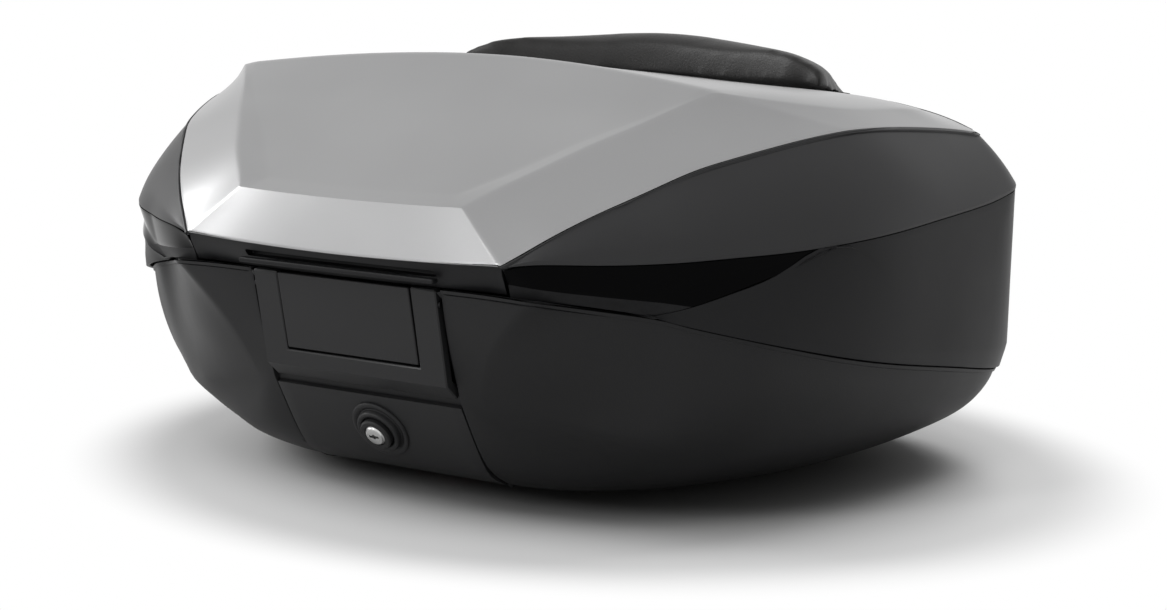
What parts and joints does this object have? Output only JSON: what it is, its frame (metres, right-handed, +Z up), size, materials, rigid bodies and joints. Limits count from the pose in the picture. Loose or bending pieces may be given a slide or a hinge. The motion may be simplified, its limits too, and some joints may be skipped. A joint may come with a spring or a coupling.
{
  "type": "motorcycle top case",
  "caption": "Hard expandable motorcycle top case with metal-covered hinged lid, lifting frame, backrest pad, carrying handle, key lock and rack tongue.",
  "frame": {"origin": "centre of the bounding box at its bottom face, on the surface that the rubber feet stand on", "axes": "+Z up, the lock and handle side faces -Y, the hinge and backrest side faces +Y, +X to the right of someone who faces the hinge side from the lock side"},
  "size_m": [0.598, 0.463, 0.2815],
  "materials": {
    "metal_cover": "brushed, clear coated",
    "black_plastic": "fine grained, satin",
    "gloss_black": "high gloss",
    "dark_satin": "satin",
    "pad": "grained vinyl over foam",
    "seal_rubber": "matte",
    "liner": "matte",
    "mat": "ribbed, matte",
    "lock_metal": "nickel plated",
    "steel": "zinc plated",
    "clip_red": "satin",
    "foot_rubber": "matte"
  },
  "bodies": {
    "base": {"lower_shell": "black_plastic", "inner_tray": "liner", "tray_wall": "liner", "floor_mat": "mat", "tray_screw_1": "steel", "tray_screw_2": "steel", "tray_screw_3": "steel", "tray_screw_4": "steel", "lock_panel": "dark_satin", "lock_boss": "dark_satin", "lock_housing": "dark_satin", "latch_cover": "dark_satin", "handle_pin_left": "steel", "handle_pin_right": "steel", "mounting_plate": "black_plastic", "tongue_keeper": "steel", "keeper_screw_1": "steel", "keeper_screw_2": "steel", "rubber_foot_1": "foot_rubber", "rubber_foot_2": "foot_rubber", "rubber_foot_3": "foot_rubber", "rubber_foot_4": "foot_rubber", "lift_rail_left": "dark_satin", "lift_rail_right": "dark_satin"},
    "frame": {"frame_shell": "black_plastic", "gloss_insert_left": "gloss_black", "gloss_insert_right": "gloss_black", "rim_seal": "seal_rubber", "hinge_leaf_left": "steel", "hinge_leaf_right": "steel", "hinge_pin_left": "steel", "hinge_pin_right": "steel", "hinge_screw_1": "steel", "hinge_screw_2": "steel", "hinge_screw_3": "steel", "hinge_screw_4": "steel", "latch_carrier": "black_plastic", "latch_pin": "steel", "catch_guide_left": "black_plastic", "catch_guide_right": "black_plastic"},
    "lid": {"lid_cover": "metal_cover", "lid_shell": "black_plastic", "front_band": "black_plastic", "hinge_strap_left": "steel", "hinge_strap_right": "steel", "strap_screw_1": "steel", "strap_screw_2": "steel", "strap_screw_3": "steel", "strap_screw_4": "steel", "striker": "steel", "backrest_plate": "dark_satin", "backrest_pad": "pad"},
    "handle": {"carry_handle": "dark_satin"},
    "latch": {"latch_hook": "steel"},
    "key": {"key_plug": "lock_metal", "lock_cam": "steel"},
    "tongue": {"rack_tongue": "clip_red"},
    "catch_left": {"lift_catch_left": "clip_red"},
    "catch_right": {"lift_catch_right": "clip_red"}
  },
  "joints": [
    {"name": "frame_lift", "type": "slide", "parent": "base", "child": "frame", "axis": [0, 0, 1], "range_m": [0, 0.06]},
    {"name": "lid_hinge", "type": "hinge", "parent": "frame", "child": "lid", "pos_m": [0, 0.2165, 0.1965], "axis": [-1, 0, 0], "range_deg": [0, 75]},
    {"name": "handle_swing", "type": "hinge", "parent": "base", "child": "handle", "pos_m": [0, -0.2165, 0.14], "axis": [-1, 0, 0], "range_deg": [0, 70], "stiffness_Nm_per_rad": 0.2, "springref_deg": -22.92},
    {"name": "latch_turn", "type": "hinge", "parent": "frame", "child": "latch", "pos_m": [0, -0.1795, 0.13], "axis": [-1, 0, 0], "range_deg": [0, 10]},
    {"name": "key_turn", "type": "hinge", "parent": "base", "child": "key", "pos_m": [0, -0.1921, 0.0435], "axis": [0, -0.866, -0.5], "range_deg": [-90, 0]},
    {"name": "rack_release", "type": "slide", "parent": "base", "child": "tongue", "axis": [0, 1, 0], "range_m": [0, 0.008], "stiffness_N_per_m": 400, "springref_m": -0.004},
    {"name": "lift_catch_left", "type": "slide", "parent": "frame", "child": "catch_left", "axis": [1, 0, 0], "range_m": [0, 0.0027]},
    {"name": "lift_catch_right", "type": "slide", "parent": "frame", "child": "catch_right", "axis": [-1, 0, 0], "range_m": [0, 0.0027]}
  ],
  "couplings": [
    {"joint": "latch_turn", "follows": "handle_swing", "ratio": 0.14}
  ]
}
